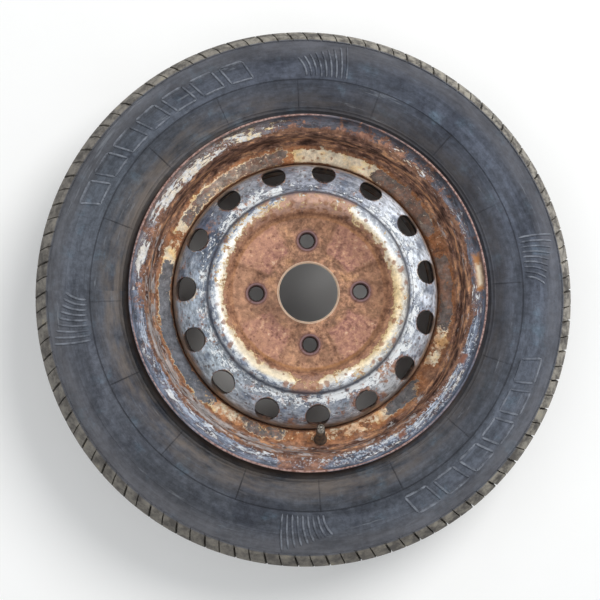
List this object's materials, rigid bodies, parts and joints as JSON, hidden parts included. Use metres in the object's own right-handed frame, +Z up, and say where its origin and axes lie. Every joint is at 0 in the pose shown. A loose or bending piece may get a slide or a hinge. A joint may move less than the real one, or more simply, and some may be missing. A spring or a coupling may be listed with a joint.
{
  "type": "car wheel with flat tyre",
  "caption": "Rusty pressed-steel car wheel with a flat, slumped tyre, lying street side up: rolled rim, vented disc with a bolt circle, and a snap-in valve without its cap.",
  "frame": {"origin": "on the wheel axis, on the ground under the tyre's lower sidewall", "axes": "+Z up along the wheel axis, out of the street side; +X and +Y in the ground plane, the valve lies near -Y"},
  "size_m": [0.5998, 0.5998, 0.16],
  "materials": {
    "rim_paint": "worn blue-grey wheel paint, scuffed to bare metal, rust brown in the bead seat and well, cream filler patches",
    "disc_rust": "flaked silver-grey paint on the vented roll and ridge, orange-brown rust over the hub face",
    "tyre_rubber": "weathered blue-grey rubber with dust in the mould lines and beige dirt in the tread",
    "valve_rubber": "dull aged rubber with rust dust",
    "brass": "dull tarnished brass",
    "pin_steel": "small worn steel parts",
    "seal_rubber": "dark red seal rubber"
  },
  "bodies": {
    "root": {"rim": "rim_paint", "wheel_disc": "disc_rust", "tyre": "tyre_rubber", "valve_stem": "valve_rubber", "valve_insert": "brass", "core_plug": "brass", "core_pin": "pin_steel", "core_barrel": "brass", "core_gasket": "seal_rubber", "core_spring": "pin_steel", "core_plunger": "seal_rubber"}
  },
  "joints": []
}
